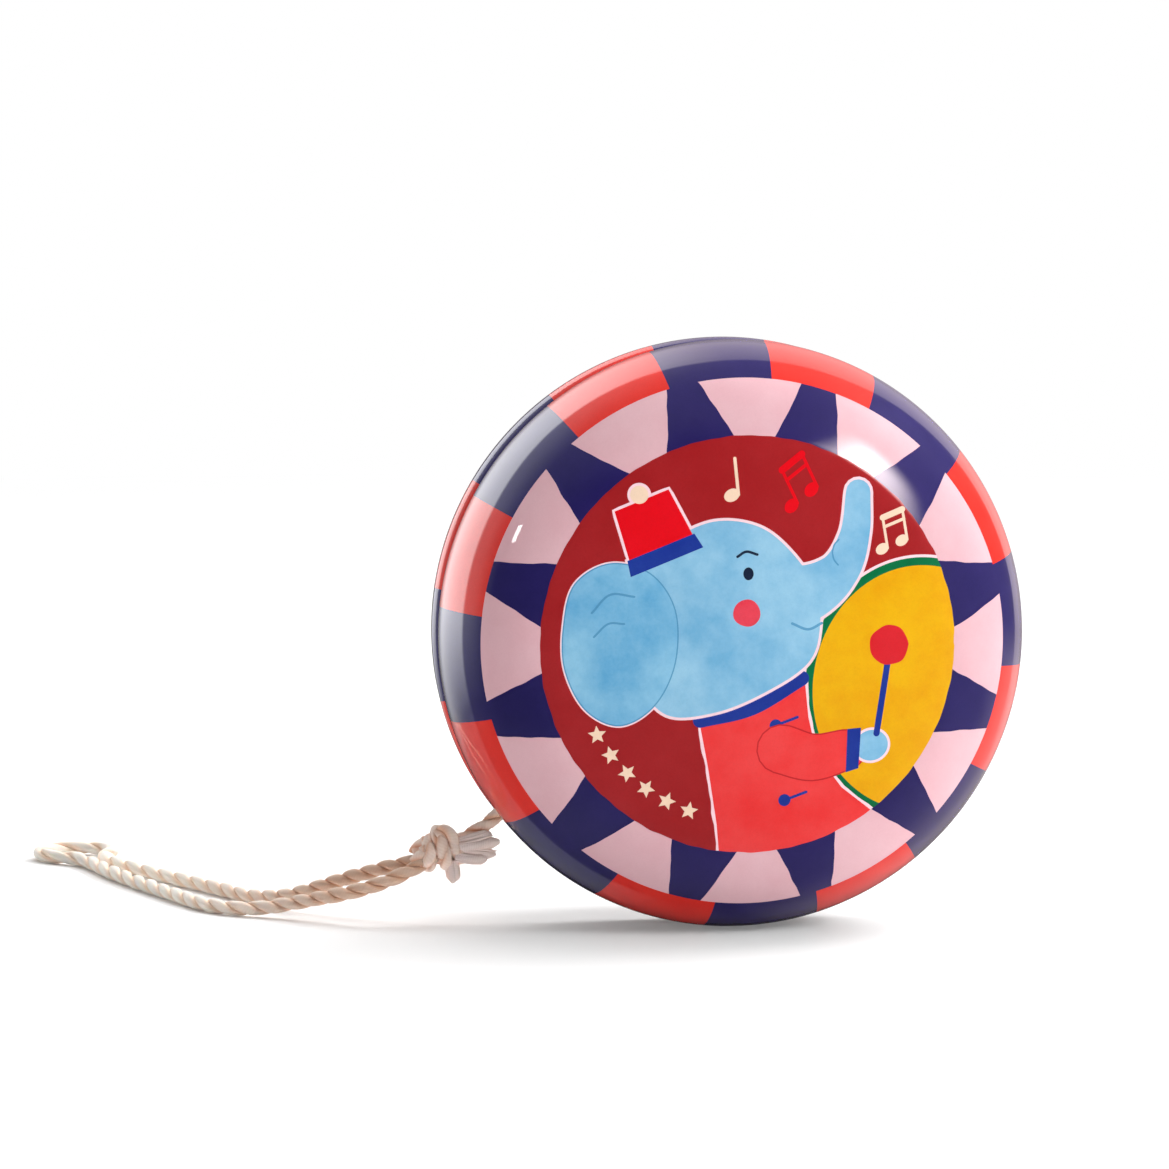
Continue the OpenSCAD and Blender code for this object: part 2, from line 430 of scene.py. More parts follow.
# Round the finger loop: x, y and the height of the string's underside over the floor, in mm
LOOP_ROUTE = [(-30.2, -1, 6.6), (-32.4, -1.1, 5.2), (-35.2, -0.9, 3.9), (-38.4, 0.2, 2.8),
              (-41.6, 2.7, 1.8), (-44.6, 5.4, 0.9), (-47.4, 7.4, 0.2), (-50.1, 8.8, 0),
              (-52.9, 12, 0), (-55.6, 18.4, 0), (-58, 24.8, 0), (-60.3, 31.2, 0),
              (-62.3, 37.4, 0), (-63.4, 41.8, 0), (-64.4, 45.2, 0), (-65.9, 47.8, 0),
              (-68.1, 49.4, 0), (-69.4, 51.8, 0), (-68.8, 54.5, 0), (-66.6, 56.1, 0),
              (-63.9, 56, 0), (-61.9, 54.2, 0), (-61.5, 51.5, 0), (-62.4, 48.9, 0),
              (-62.3, 46.1, 0), (-61.1, 42.6, 0), (-59, 38.2, 0), (-56.4, 33.2, 0),
              (-53.6, 28, 0), (-50.9, 22.8, 0), (-48, 17.2, 0), (-44.7, 12, 0.7),
              (-41.3, 8.2, 2.2), (-37.9, 5, 3.7), (-34.8, 2.5, 4.9), (-32.3, 1.2, 5.6),
              (-30.2, 1, 6.4)]
KNOT_PLACE = np.array((-29, 0, -22.1)) * MM
KNOT_TURN = math.radians(-104)
# The string leaves the winding at this angle, seen from the front
LEAVE_ANGLE = math.radians(190)


def from_floor(route):
    """A route whose heights are over the floor, in mm, as the string's middle line in metres."""
    made = np.array(route, float) * MM
    made[:, 2] += FLOOR_Z + STRING_RADIUS
    return made


def winding_line():
    """One turn round the sleeve, then a flat spiral out to where the lead leaves."""
    last_radius = WINDING_RADIUS - STRING_RADIUS
    turns = (last_radius - AXLE_LOOP_RADIUS) / STRING_DIAMETER
    angles = np.linspace(LEAVE_ANGLE - TAU * (turns + 1), LEAVE_ANGLE - 0.02, 420)
    spiral = np.clip((angles - (LEAVE_ANGLE - TAU * turns)) / TAU, 0, None)
    radius = AXLE_LOOP_RADIUS + STRING_DIAMETER * spiral
    weave = 0.3 * MM * np.sin(1.31 * angles) * np.clip(spiral, 0, 1)
    weave *= np.clip((LEAVE_ANGLE - angles) / 1.5, 0, 1)
    return np.stack([radius * np.cos(angles), weave, radius * np.sin(angles)], 1)


def make_main_string():
    line = np.vstack([winding_line(), smooth(np.array(LEAD_ROUTE) * MM, 10)])
    parts, path = twisted(line, 0.45 * MM)
    main = mesh_object("string_main", parts, COTTON)
    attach(main, "string")
    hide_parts("string_axle_loop", "string_winding", "string_lead")
    return main, path


def make_finger_loop():
    line = smooth(from_floor(LOOP_ROUTE), 10)
    parts, path = twisted(line, 0.28 * MM, first=(0, 0, 1), slack=0.9)
    loop = mesh_object("finger_loop_string", parts, LOOP_COTTON)
    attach(loop, "string")
    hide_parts("finger_loop")
    return loop, path


def knot_frame():
    """The knot's long axis, pointing to the loop, and two directions square to it."""
    axis = np.array((math.sin(KNOT_TURN), 0, math.cos(KNOT_TURN)))
    front = np.array((0, -1.0, 0))
    return axis, front, np.cross(axis, front)


def knot_line(points, steps=8):
    """A line through points given along the knot's axis, to its front and to its top, in mm."""
    axis, front, top = knot_frame()
    return smooth([KNOT_PLACE + MM * (a * axis + u * front + v * top) for a, u, v in points], steps)


def knot_wrap(along, radius, lean, rise, seed):
    """One turn of the string round the knot, leaning over at its top."""
    rng = random.Random(seed)
    points = []
    for i in range(13):
        angle = TAU * (i / 12 * 1.08 - 0.04)
        reach = radius + rng.uniform(-0.06, 0.06)
        points.append((along + lean * math.sin(angle), reach * math.cos(angle),
                       reach * math.sin(angle) + rise * max(0, math.sin(angle))))
    return knot_line(points, 4)


def make_knot():
    """An overhand knot in the doubled string: fat wraps round the strands that go through."""
    axis, front, _ = knot_frame()
    lines = [knot_wrap(0.3, 1.6, 0.1, 0.3, 1), knot_wrap(1.75, 1.2, -0.3, 0.1, 2),
             knot_wrap(-1.0, 1.3, 0.35, 0.1, 3),
             knot_line([(3.3, 0.95, -0.5), (2.4, 0.95, 0.0), (1.4, 1.0, 0.35), (0.2, 0.8, 0.2)]),
             knot_line([(3.2, -0.9, 0.2), (2.3, -0.8, 0.7), (1.4, -0.5, 1.0), (0.2, -0.3, 0.9)]),
             knot_line([(0.4, 0.5, 1.6), (-0.2, 1.2, 1.9), (-0.9, 1.4, 1.2), (-1.2, 1.2, 0.2),
                        (-0.9, 1.0, -0.7)]),
             knot_line([(2.5, 0.3, -0.9), (2.0, 1.3, -0.6), (1.7, 1.5, 0.2), (1.9, 0.9, 1.0)]),
             knot_line([(-0.2, -0.6, -1.1), (-1.2, 0.2, -1.2), (-1.9, 0.6, -0.5)])]
    parts = []
    for number, line in enumerate(lines):
        more, _ = twisted(line, 0.2 * MM, twist_from=1.3 * number * MM, first=tuple(axis))
        parts += more
    core = np.array([KNOT_PLACE + MM * a * axis for a in np.linspace(-2.4, 2.6, 24)])
    sides, _ = carried_sides(core, front)
    swell = 1.5 * MM * np.sqrt(np.clip(1 - np.linspace(-0.96, 0.96, 24) ** 2, 0, 1))
    parts.append(tube_parts(core, sides, swell, 24))
    knot = mesh_object("knot_cotton", parts, COTTON)
    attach(knot, "string")
    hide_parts("string_knot")
    return knot


def lock(points, radii, sides=14):
    """A tapering lock of loose fibres with a round tip."""
    line, run = even(smooth(points, 8), 0.12 * MM)
    share = run / run[-1]
    radius = np.interp(share, np.linspace(0, 1, len(radii)), radii) * MM
    radius = radius * np.sqrt(np.clip((1.02 - share) / 0.2, 0.02, 1))
    up, _ = carried_sides(line, (0, -1, 0))
    return tube_parts(line, up, radius, sides)


# The brush's soft lobes: how far right and up of the knot each starts, bends and ends, in mm
LOBES = [((1.0, 0.7), (3.0, 1.15), (4.7, 1.6)), ((1.0, 0.25), (3.2, 0.5), (5.5, 0.85)),
         ((1.0, -0.2), (3.1, -0.3), (5.1, -0.5)), ((0.9, -0.65), (2.7, -0.9), (4.2, -0.95))]


def from_knot(right, forward, up):
    """A point so far right, towards the front and up from the knot's middle, in mm."""
    return KNOT_PLACE + MM * np.array((right, -forward, up))


def make_frayed_end():
    """The cut end that has come apart into soft lobes with loose fibres over them."""
    rng = random.Random(11)
    parts = []
    for number, lobe in enumerate(LOBES):
        forward = 1.0 + 0.3 * (number % 2)
        line = [from_knot(x, forward, z) for x, z in lobe]
        parts.append(lock(line, (0.55, 0.62, 0.58)))
    for _ in range(46):
        lobe = rng.choice(LOBES)
        side, lift = rng.uniform(0.2, 0.62), rng.uniform(-0.55, 0.55)
        reach = rng.uniform(0.8, 1.04)
        line = []
        for share, (x, z) in zip((0, 0.5, 1), lobe):
            x = lobe[0][0] + (x - lobe[0][0]) * reach
            line.append(from_knot(x, 1.15 + side * (1 - 0.3 * share),
                                  z + lift * (1 - 0.25 * share)))
        parts.append(lock(line, (0.12, 0.16, 0.1), 7))
    frayed = mesh_object("frayed_end_cotton", parts, FRAYED_COTTON)
    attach(frayed, "string")
    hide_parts("string_frayed_end")
    return frayed


def make_short_end():
    """The other cut end, a soft stub below the knot."""
    parts = []
    for x, forward, z in ((0.45, 0.8, -3.2), (0.95, 1.15, -3.15), (0.9, 0.6, -3.3),
                          (0.6, 1.2, -3.4)):
        line = [from_knot(x - 0.15, forward, -1.0), from_knot(x, forward, -2.1),
                from_knot(x + 0.1, forward, z)]
        parts.append(lock(line, (0.5, 0.52, 0.46)))
    tail = mesh_object("short_end_cotton", parts, FRAYED_COTTON)
    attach(tail, "string")
    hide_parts("string_short_end")
    return tail


main_string, main_path = make_main_string()
finger_loop, loop_path = make_finger_loop()
knot = make_knot()
frayed_end = make_frayed_end()
short_end = make_short_end()


# -------------------------------- profile of a pressed shell
CURL_CENTRE = OUTER_RADIUS - CURL_RADIUS
RIM_HEIGHT = HEM_FACE + CURL_RADIUS
CROWN_DROP = CROWN_RADIUS + RIM_HEIGHT - HALF_WIDTH
SHOULDER_RADIUS = ((CROWN_RADIUS ** 2 - OUTER_RADIUS ** 2 - CROWN_DROP ** 2)
                   / (2 * (CROWN_RADIUS - OUTER_RADIUS)))
SHOULDER_CENTRE = OUTER_RADIUS - SHOULDER_RADIUS
CROWN_ANGLE = math.asin(SHOULDER_CENTRE / (CROWN_RADIUS - SHOULDER_RADIUS))
CROWN_RUN = CROWN_RADIUS * CROWN_ANGLE
SHOULDER_RUN = SHOULDER_RADIUS * (math.pi / 2 - CROWN_ANGLE)
CURL_RUN = CURL_RADIUS * math.pi / 2
RIM_RUN = CROWN_RUN + SHOULDER_RUN
LIP_RUN = RIM_RUN + CURL_RUN
WHOLE_RUN = LIP_RUN + HEM_LIP


def profile(run, inset=0.0):
    """Radius, height and tilt of the sheet so far along it from the dome's pole, and so far in."""
    run = np.asarray(run, float)
    spans = [run <= CROWN_RUN, run <= RIM_RUN, run <= LIP_RUN]
    tilt = np.select(spans, [run / CROWN_RADIUS,
                             CROWN_ANGLE + (run - CROWN_RUN) / SHOULDER_RADIUS,
                             math.pi / 2 + (run - RIM_RUN) / CURL_RADIUS], math.pi)
    arcs = [(0.0, HALF_WIDTH - CROWN_RADIUS, CROWN_RADIUS),
            (SHOULDER_CENTRE, RIM_HEIGHT, SHOULDER_RADIUS),
            (CURL_CENTRE, RIM_HEIGHT, CURL_RADIUS)]
    radius = np.select(spans, [c + (r - inset) * np.sin(tilt) for c, _, r in arcs],
                       CURL_CENTRE - (run - LIP_RUN))
    height = np.select(spans, [h + (r - inset) * np.cos(tilt) for _, h, r in arcs],
                       HEM_FACE + inset)
    return radius, height, tilt


def run_at(radius):
    """Distance along the sheet to where the dome, seen from the front, has this radius."""
    radius = np.asarray(radius, float)
    crown = CROWN_RADIUS * np.arcsin(np.clip(radius / CROWN_RADIUS, 0, 1))
    slope = np.clip((radius - SHOULDER_CENTRE) / SHOULDER_RADIUS, 0, 1)
    shoulder = CROWN_RUN + SHOULDER_RADIUS * (np.arcsin(slope) - CROWN_ANGLE)
    return np.where(crown <= CROWN_RUN, crown, shoulder)


# -------------------------------- print: outlines in mm
DISC_RADIUS = 20.9
RING_RADIUS = 26.5
BLOCKS = 16
# How far round each face the middle of a red block is, in degrees from its right
FRONT_RED = 72.7
REAR_RED = 64.7
TRAPEZOIDS = 12
# Half the width of each piece at the ring's outer and inner edge, and how far each corner and
# each piece may be off, in degrees
OUTER_HALF, INNER_HALF = 11.4, 5.4
CORNER_OFF, PIECE_OFF = 0.7, 1


def polar(radius, degrees):
    """The point at this distance and angle from the origin."""
    a = math.radians(degrees)
    return radius * math.cos(a), radius * math.sin(a)


def polar_at(x, y, radius, degrees):
    u, v = polar(radius, degrees)
    return x + u, y + v


def moved(shape, x, y, turn):
    """The outline turned by some degrees about its origin and then moved there."""
    c, s = polar(1, turn)
    u, v = np.asarray(shape, float).T
    return np.stack([x + c * u - s * v, y + s * u + c * v], 1)


def round_shape(x, y, wide, high=None, turn=0, count=64):
    """A circle, or an ellipse turned by some degrees."""
    a = np.arange(count) * TAU / count
    return moved(np.stack([wide * np.cos(a), (high or wide) * np.sin(a)], 1), x, y, turn)


def grown(shape, by):
    """The outline moved outwards by a distance."""
    along = unit(np.roll(shape, -1, 0) - np.roll(shape, 1, 0))
    area = np.sum(shape[:, 0] * np.roll(shape[:, 1], -1) - shape[:, 1] * np.roll(shape[:, 0], -1))
    out = np.stack([along[:, 1], -along[:, 0]], 1) * (1 if area > 0 else -1)
    return shape + by * out


def stroke(points, radii, steps=8):
    """The outline of a brush stroke through the points, with round ends."""
    line = smooth(points, steps)
    radii = np.interp(np.linspace(0, 1, len(line)), np.linspace(0, 1, len(np.atleast_1d(radii))),
                      np.atleast_1d(radii))
    along = tangents(line)
    left = np.stack([-along[:, 1], along[:, 0]], 1)

    def end(at, sign):
        start = math.atan2(*(sign * left[at])[::-1])
        turn = start - math.pi * np.arange(1, 8) / 8
        return line[at] + radii[at] * np.stack([np.cos(turn), np.sin(turn)], 1)

    return np.vstack([line + left * radii[:, None], end(-1, 1),
                      (line - left * radii[:, None])[::-1], end(0, -1)])


def wobble(shape, size, seed):
    """Slow, small wanderings of a hand-cut edge."""
    rng = random.Random(seed)
    run = distances(shape)
    shift = np.zeros_like(shape)
    for wave in (2.1, 3.7, 6.3):
        for axis in (0, 1):
            shift[:, axis] += size * np.sin(TAU * run / wave + rng.uniform(0, TAU)) / 2
    return shape + shift


def densified(corners, spacing):
    """Straight-sided outline with extra points along each side."""
    made = []
    for a, b in zip(corners, corners[1:] + corners[:1]):
        count = max(1, int(math.dist(a, b) / spacing))
        made += [(a[0] + (b[0] - a[0]) * i / count, a[1] + (b[1] - a[1]) * i / count)
                 for i in range(count)]
    return np.array(made)


def arc_points(radius, start, stop, spacing=0.5):
    """Points along an arc about the origin, from one angle to another in degrees."""
    count = max(2, int(abs(math.radians(stop - start)) * radius / spacing))
    return [polar(radius, start + (stop - start) * i / count) for i in range(count + 1)]


def leaned(degrees):
    """The ring's pieces gather a little towards the lower right."""
    return degrees - 2.4 * math.cos(math.radians(degrees - 45))


def trapezoid(number, rng):
    """One pink piece of the ring, wide outside and narrow inside, cut by hand."""
    middle = 90 + 360 / TRAPEZOIDS * number + rng.uniform(-PIECE_OFF, PIECE_OFF)

    def corner(side, half):
        return leaned(middle + side * (half + rng.uniform(-CORNER_OFF, CORNER_OFF)))

    outer = [corner(side, OUTER_HALF) for side in (-1, 1)]
    inner = [corner(side, INNER_HALF) for side in (1, -1)]
    corners = arc_points(RING_RADIUS, *outer) + arc_points(DISC_RADIUS - 0.3, *inner)
    shape = wobble(densified(corners, 0.5), 0.05, number)
    radius = np.hypot(*shape.T)
    # The outer edge keeps to the ring's circle, and the inner one runs under the disc
    edge = radius > RING_RADIUS - 0.35
    shape[edge] *= (RING_RADIUS / radius[edge])[:, None]
    return shape


def star(x, y, size, turn=0):
    corners = [polar(size if i % 2 == 0 else 0.46 * size, 90 + 36 * i) for i in range(10)]
    return moved(densified(corners, 0.3), x, y, turn)


def note(x, y, colour, turn=0, double=False, size=1.0):
    """A plain musical note, or a beamed pair."""
    heads = [0, 2.5] if double else [0]
    shapes = []
    for h in heads:
        rise = 0.25 * h
        shapes.append(round_shape(h, rise, 0.82, 0.62, 24, 32))
        shapes.append(stroke([(h + 0.66, rise), (h + 0.6, rise + 3.6)], 0.16, 4))
    if double:
        shapes.append(stroke([(0.6, 3.6), (3.1, 4.22)], 0.36, 4))
        shapes.append(stroke([(0.62, 2.5), (3.12, 3.1)], 0.18, 4))
    return [(moved(size * np.asarray(s, float), x, y, turn), colour, True) for s in shapes]


def border(seed):
    """The layers that both faces share: the ring of pink pieces and the disc."""
    rng = random.Random(seed)
    layers = [(trapezoid(i, rng), "pink", False) for i in range(TRAPEZOIDS)]
    layers.append((wobble(round_shape(0, 0, DISC_RADIUS, count=360), 0.04, 5), "maroon", False))
    return layers


HEAD = [(-12.6, 2.6), (-11.8, 7.4), (-8.2, 10.4), (-3.6, 12.4), (1, 11.8), (4.4, 9), (6.6, 5.4),
        (7, 1.6), (5.8, -1.8), (1.6, -4.6), (-3.4, -6.6), (-8.4, -6.8), (-11.4, -3)]
EAR = [(-18.5, 2.2), (-17.4, 6.2), (-14, 8.2), (-10, 7.2), (-7.6, 3.6), (-7.6, -1.6),
       (-9.6, -5.8), (-13, -7.8), (-16.4, -6.2), (-18.4, -2.2)]
TRUNK = [(1.2, 5), (5.6, 5.2), (9, 7.4), (10.6, 11), (11, 15.2)]
TRUNK_RADII = [4.2, 2.9, 2, 1.5, 1.25]
COAT = [(-5.2, -7), (0, -6), (5.4, -2.6), (5.9, -7.2), (6.8, -11), (9.4, -14.4), (13, -17.2),
        (13, -24), (-2.6, -24), (-3.2, -18), (-4.2, -12)]
ARM = [(3.2, -10.4), (6.4, -11.3), (9.8, -10.6)]
DRUM = (17.4, -4.6, 11.9, 13.2)


def elephant():
    """A plain circus elephant in a red coat who beats a drum, drawn from simple shapes."""
    head, ear = smooth(HEAD, 10, True), smooth(EAR, 10, True)
    trunk = stroke(TRUNK, TRUNK_RADII, 10)
    coat = densified(COAT, 0.6)
    arm = stroke(ARM, [2.4, 2.3, 2])
    drum = round_shape(*DRUM, count=140)
    band = densified([(-3.9, -0.2), (3.9, -0.2), (3.6, 1.4), (-3.6, 1.4)], 0.5)
    crown = densified([(-3.4, 1.4), (3.4, 1.4), (2.9, 6.4), (-2.9, 6.4)], 0.5)
    hat = [moved(part, -8.4, 8.6, 22) for part in (band, crown, round_shape(0, 7, 0.9))]
    line = 0.28
    layers = [(grown(drum, line), "outline"), (drum, "green"), (grown(drum, -0.8), "yellow"),
              (wobble(grown(coat, line), 0.08, 21), "outline"), (coat, "coat_red")]
    for x, y in ((2.6, -8), (3.6, -15.6)):
        layers += [(round_shape(x, y, 0.62, count=32), "trim"),
                   (stroke([(x, y), (x + 2.2, y + 0.8)], 0.14), "trim")]
    layers += [(grown(arm, 0.14), "fold_red"), (arm, "coat_red"),
               (stroke([(-5, -7.4), (0.2, -6.2), (5.2, -3.3)], 0.75), "trim"),
               (round_shape(12.4, -10.2, 1.95, 1.8, 15), "outline"),
               (round_shape(12.4, -10.2, 1.7, 1.55, 15), "blue"),
               (densified([(9.8, -12.9), (11.1, -12.5), (11.3, -8.4), (9.9, -8.5)], 0.5), "trim"),
               (stroke([(12.9, -9), (14, -1.6)], 0.32), "trim"),
               (wobble(round_shape(14.1, -0.1, 2), 0.05, 3), "baton")]
    layers += [(grown(s, line), "outline") for s in (head, ear, trunk, *hat)]
    layers += [(head, "blue"), (trunk, "blue"), (grown(ear, 0.14), "blue_line"), (ear, "ear_blue")]
    layers += list(zip(hat, ("trim", "hat_red", "cream")))
    layers += [(stroke([(-15.8, 3.4), (-14, 5.2), (-11.6, 5)], 0.11), "blue_line"),
               (stroke([(-15.6, 1), (-14.2, 2.3), (-12.6, 2.3)], 0.1), "blue_line"),
               (stroke([(4.2, 2.2), (5.8, 1.6), (7.2, 2.2)], 0.13), "blue_line")]
    layers += [(stroke([polar_at(9.9, 9.2, 1.6, a) for a in (at - 24, at, at + 24)], 0.08),
                "blue_line") for at in (150, 178, 206)]
    layers += [(round_shape(-0.2, 7.2, 0.52, 0.64), "dark"),
               (stroke([(-1.3, 8.9), (-0.4, 9.4), (0.7, 9.1)], 0.13), "dark"),
               (wobble(round_shape(-0.4, 3.3, 1.35), 0.05, 9), "cheek")]
    return [(shape, colour, True) for shape, colour in layers]


def front_print():
    """The border round an elephant, three notes and a row of small stars."""
    layers = border(9245) + elephant()
    layers += note(-1.8, 15, "cream", 4) + note(4.2, 13.9, "hat_red", 24, True)
    layers += note(13.4, 9.5, "cream", 8, True, 0.85)
    layers += [(star(*polar(17.6, a), 0.95, 1.4 * a), "cream", True) for a in range(210, 258, 8)]
    return layers


def rear_print():
    """The rear face isn't known, so it has the same border round a plain star."""
    big = star(0, 0, 13.5)
    layers = border(8) + [(grown(big, 0.5), "outline", True), (big, "yellow", True),
                          (star(0, 0, 6.6, 36), "coat_red", True)]
    layers += [(round_shape(*polar(15.2, 54 + 72 * i), 1.5), "cream", True) for i in range(5)]
    return layers


# -------------------------------- shells
# Rings beyond this distance, where the sheet bends, have this many points round them
BEND_RUN, AROUND = CROWN_RUN + 4 * MM, 288
# Spacing of the crown's rings, and of the points along the rings within that distance
RING_STEP, POINT_STEP = 1.2 * MM, 1.1 * MM


def unrolled(shape):
    """Outline points seen from the front, in mm, laid out flat by distance along the sheet."""
    shape = np.asarray(shape, float) * MM
    radius = np.hypot(shape[:, 0], shape[:, 1])
    scale = run_at(radius) / np.maximum(radius, 1e-9)
    return shape * scale[:, None]


def red_blocks(centre):
    """The red blocks round the rim, from the ring out over the rolled edge, laid out flat."""
    half, start = 180 / BLOCKS, float(run_at(RING_RADIUS * MM))
    side = np.linspace(start, WHOLE_RUN, 16)
    shapes = []
    for i in range(BLOCKS // 2):
        middle = centre + 720 / BLOCKS * i
        inner = arc_points(start, middle + half, middle - half, 0.8 * MM)[1:-1]
        shapes.append(np.array([polar(run, middle - half) for run in side]
                               + [polar(run, middle + half) for run in side[::-1]] + inner))
    return shapes


def inside(shape, points):
    """Which points lie inside a closed outline."""
    low, high = shape.min(0), shape.max(0)
    near = np.all((points >= low) & (points <= high), 1)
    found = np.zeros(len(points), bool)
    x, y = points[near, 0][:, None], points[near, 1][:, None]
    x0, y0 = shape[:, 0], shape[:, 1]
    x1, y1 = np.roll(x0, -1), np.roll(y0, -1)
    crossing = (y0 > y) != (y1 > y)
    rise = np.where(y1 == y0, 1e-15, y1 - y0)
    found[near] = (crossing & (x < (x1 - x0) * (y - y0) / rise + x0)).sum(1) % 2 == 1
    return found


def grid_points():
    """Rings of points, closer together where the sheet bends, out to where the lip starts."""
    points = [(0.0, 0.0)]
    runs = list(np.arange(RING_STEP, CROWN_RUN, RING_STEP))
    runs += list(np.linspace(CROWN_RUN, RIM_RUN, 40))
    runs += list(np.linspace(RIM_RUN, LIP_RUN, 9)[1:])
    for number, run in enumerate(runs):
        count = AROUND
        if run <= BEND_RUN:
            count = min(AROUND, max(12, int(TAU * run / POINT_STEP)))
        points += [(run * math.cos(TAU * (k + 0.5 * (number % 2)) / count),
                    run * math.sin(TAU * (k + 0.5 * (number % 2)) / count)) for k in range(count)]
    return points


def printed_sheet(layers, red_centre):
    """Flat triangles of the outer face and each one's ink. Later layers lie over earlier ones."""
    points = grid_points()
    edges = []

    def add_outline(shape):
        start = len(points)
        points.extend(map(tuple, shape))
        count = len(shape)
        edges.extend((start + i, start + (i + 1) % count) for i in range(count))

    first = red_centre - 180 / BLOCKS
    add_outline([polar(WHOLE_RUN, first + 360 * k / AROUND) for k in range(AROUND)])
    flat = [(shape, "red", False) for shape in red_blocks(red_centre)]
    flat += [(unrolled(shape), colour, clipped) for shape, colour, clipped in layers]
    for shape, _, _ in flat:
        add_outline(shape)
    vertices, _, faces, _, _, _ = delaunay_2d_cdt(
        [Vector(p) for p in points], edges, [], 0, 1e-7)
    vertices = np.array([tuple(v) for v in vertices])
    faces = np.array([f for f in faces if len(f) == 3])
    middles = vertices[faces].mean(1)
    keep = np.hypot(*middles.T) < WHOLE_RUN
    faces, middles = faces[keep], middles[keep]
    disc = [shape for shape, colour, _ in flat if colour == "maroon"][0]
    on_disc = inside(disc, middles)
    colours = np.array(["navy"] * len(faces), dtype=object)
    for shape, colour, clipped in flat:
        hit = inside(shape, middles)
        colours[hit & on_disc if clipped else hit] = colour
    return vertices, faces, colours


def bent(flat):
    """The flat print bent to the shell: points, normals, angles, and which points edge the lip."""
    run, angle = np.hypot(*flat.T), np.arctan2(flat[:, 1], flat[:, 0])
    radius, height, tilt = profile(run)
    points = np.stack([radius * np.cos(angle), -height, radius * np.sin(angle)], 1)
    normals = np.stack([np.sin(tilt) * np.cos(angle), -np.cos(tilt),
                        np.sin(tilt) * np.sin(angle)], 1)
    rim = [i for i in np.argsort(angle % TAU) if abs(run[i] - WHOLE_RUN) < 1e-6]
    return points, normals, angle, rim


# Where along the sheet the bare side has its rings, from the lip's edge to near the pole
INNER_RUNS = np.concatenate([np.linspace(WHOLE_RUN, LIP_RUN, 3),
                             np.linspace(LIP_RUN, RIM_RUN, 8)[1:],
                             np.linspace(RIM_RUN, CROWN_RUN, 24)[1:],
                             np.linspace(CROWN_RUN, 0.5 * MM, 12)[1:]])


def inner_side(angles):
    """Points and normals of the bare inner side, in rings from the lip to the pole."""
    points, normals = [], []
    for radius, height, tilt in zip(*profile(INNER_RUNS, SHEET)):
        for a in angles:
            points.append((radius * math.cos(a), -height, radius * math.sin(a)))
            normals.append((-math.sin(tilt) * math.cos(a), math.cos(tilt),
                            -math.sin(tilt) * math.sin(a)))
    points.append((0, -(HALF_WIDTH - SHEET), 0))
    normals.append((0, 1, 0))
    return points, normals


def inner_faces(rim, start):
    """Faces from the rim over the inner side's rings, whose points begin at start, to its pole."""
    count = len(rim)
    pole = start + len(INNER_RUNS) * count
    rows = [rim] + [list(range(first, first + count)) for first in range(start, pole, count)]
    faces = [(low[k], low[(k + 1) % count], high[(k + 1) % count], high[k])
             for low, high in zip(rows, rows[1:]) for k in range(count)]
    return faces + [(rows[-1][k], rows[-1][(k + 1) % count], pole) for k in range(count)]


def shell_mesh(name, points, normals, faces, slots, materials):
    """A smooth mesh with these normals, and each face's material by its slot."""
    mesh = bpy.data.meshes.new(name)
    mesh.from_pydata([tuple(v) for v in points], [], faces)
    for material in materials:
        mesh.materials.append(material)
    mesh.polygons.foreach_set("material_index", slots)
    mesh.polygons.foreach_set("use_smooth", [True] * len(faces))
    mesh.update()
    # The faces are all wound alike, so a few of them tell whether to turn them over
    sample = mesh.polygons[:50]
    facing = np.array([tuple(p.normal) for p in sample])
    meant = np.array([normals[list(p.vertices)].mean(0) for p in sample])
    if (facing * meant).sum() < 0:
        mesh.flip_normals()
    mesh.normals_split_custom_set_from_vertices([tuple(n) for n in normals])
    return mesh


def make_shell(name, node, layers, red_centre, turned):
    """A hollow pressed half with its printed face, real thickness and rolled hem."""
    flat, printed, colours = printed_sheet(layers, red_centre)
    points, normals, angle, rim = bent(flat)
    inks = sorted(set(colours))
    bare = inner_faces(rim, len(points))
    slots = [inks.index(c) for c in colours] + [len(inks)] * len(bare)
    more_points, more_normals = inner_side(angle[rim])
    points = np.vstack([points, more_points])
    normals = np.vstack([normals, more_normals])
    if turned:
        points[:, :2] *= -1
        normals[:, :2] *= -1
    shell = added(name, shell_mesh(name, points, normals, [tuple(f) for f in printed] + bare, slots,
                                   [INK_MATERIALS[ink_name] for ink_name in inks] + [TIN]))
    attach(shell, "yoyo")
    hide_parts(node)
    # The floor keeps its neutral white, without the inks' colours cast on it
    shell.visible_diffuse = False


make_shell("front_printed_shell", "front_face_shell", front_print(), FRONT_RED, False)
make_shell("rear_printed_shell", "rear_face_shell", rear_print(), REAR_RED, True)


# -------------------------------- metal nodes kept from the CAD
def finish_node(node, material):
    """Gives a CAD node this material in place of its own."""
    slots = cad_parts[node].data.materials
    slots.clear()
    slots.append(material)


for plate in ("front_inner_plate", "rear_inner_plate"):
    finish_node(plate, TIN)
for piece in ("axle_rivet", "front_axle_washer", "rear_axle_washer"):
    finish_node(piece, STEEL)
finish_node("axle_sleeve", BRASS)


# -------------------------------- floor, world and lights
# How far from the toy the floor begins to brighten and is all white, in metres
FADE_START, FADE_END = 0.14, 0.7


